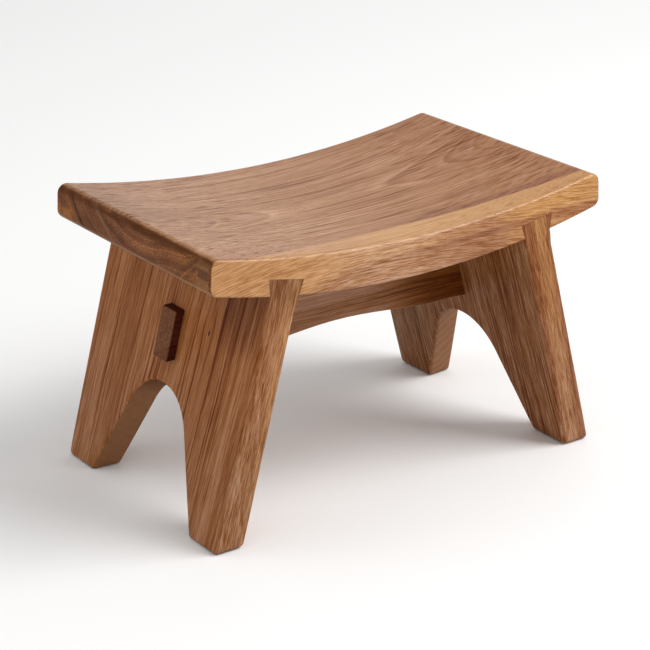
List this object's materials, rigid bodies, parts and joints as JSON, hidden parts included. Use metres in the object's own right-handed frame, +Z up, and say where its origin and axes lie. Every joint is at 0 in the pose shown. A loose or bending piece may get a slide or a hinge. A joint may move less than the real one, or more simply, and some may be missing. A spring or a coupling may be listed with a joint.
{
  "type": "low bench",
  "caption": "Low wooden bench with a shallow curved seat, splayed leg panels arched between their feet and dovetailed into the seat, and a through-tenoned stretcher.",
  "frame": {"origin": "on the floor, midway between the four feet, under the middle of the seat", "axes": "+X along the length of the seat, towards the right leg; -Y is the front long edge; +Z up"},
  "size_m": [0.4024, 0.246, 0.2531],
  "materials": {
    "seat_walnut": "oiled satin",
    "leg_walnut": "oiled satin",
    "stretcher_walnut": "oiled satin"
  },
  "bodies": {
    "root": {"seat": "seat_walnut", "leg_left": "leg_walnut", "leg_right": "leg_walnut", "stretcher": "stretcher_walnut"}
  },
  "joints": []
}
